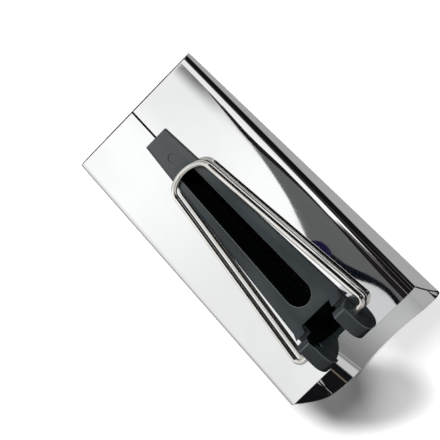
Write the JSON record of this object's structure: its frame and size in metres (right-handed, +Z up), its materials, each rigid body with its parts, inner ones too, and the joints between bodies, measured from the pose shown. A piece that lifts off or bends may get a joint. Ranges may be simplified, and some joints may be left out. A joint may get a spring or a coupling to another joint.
{
  "type": "bias tape maker",
  "caption": "Tapered folded sheet-metal bias tape maker with a slotted plastic fabric guide and a hinged bent-wire pull handle, for folding wide fabric strip into single-fold tape.",
  "frame": {"origin": "under the middle of the whole length, on the underside of the base", "axes": "+Z up off the base, +Y from the wide mouth to the narrow exit, +X to the right looking along +Y"},
  "size_m": [0.0576, 0.107, 0.0295],
  "materials": {
    "plated_sheet": "bright plated steel sheet",
    "guide_plastic": "satin moulded charcoal plastic",
    "plated_wire": "bright plated steel wire"
  },
  "bodies": {
    "folder": {"sheet_metal_body": "plated_sheet", "fabric_guide": "guide_plastic"},
    "handle": {"pull_handle": "plated_wire"}
  },
  "joints": [
    {"name": "handle_hinge", "type": "hinge", "parent": "folder", "child": "handle", "pos_m": [0, -0.03512, 0.02572], "axis": [1, 0, 0], "range_deg": [0, 190]}
  ]
}
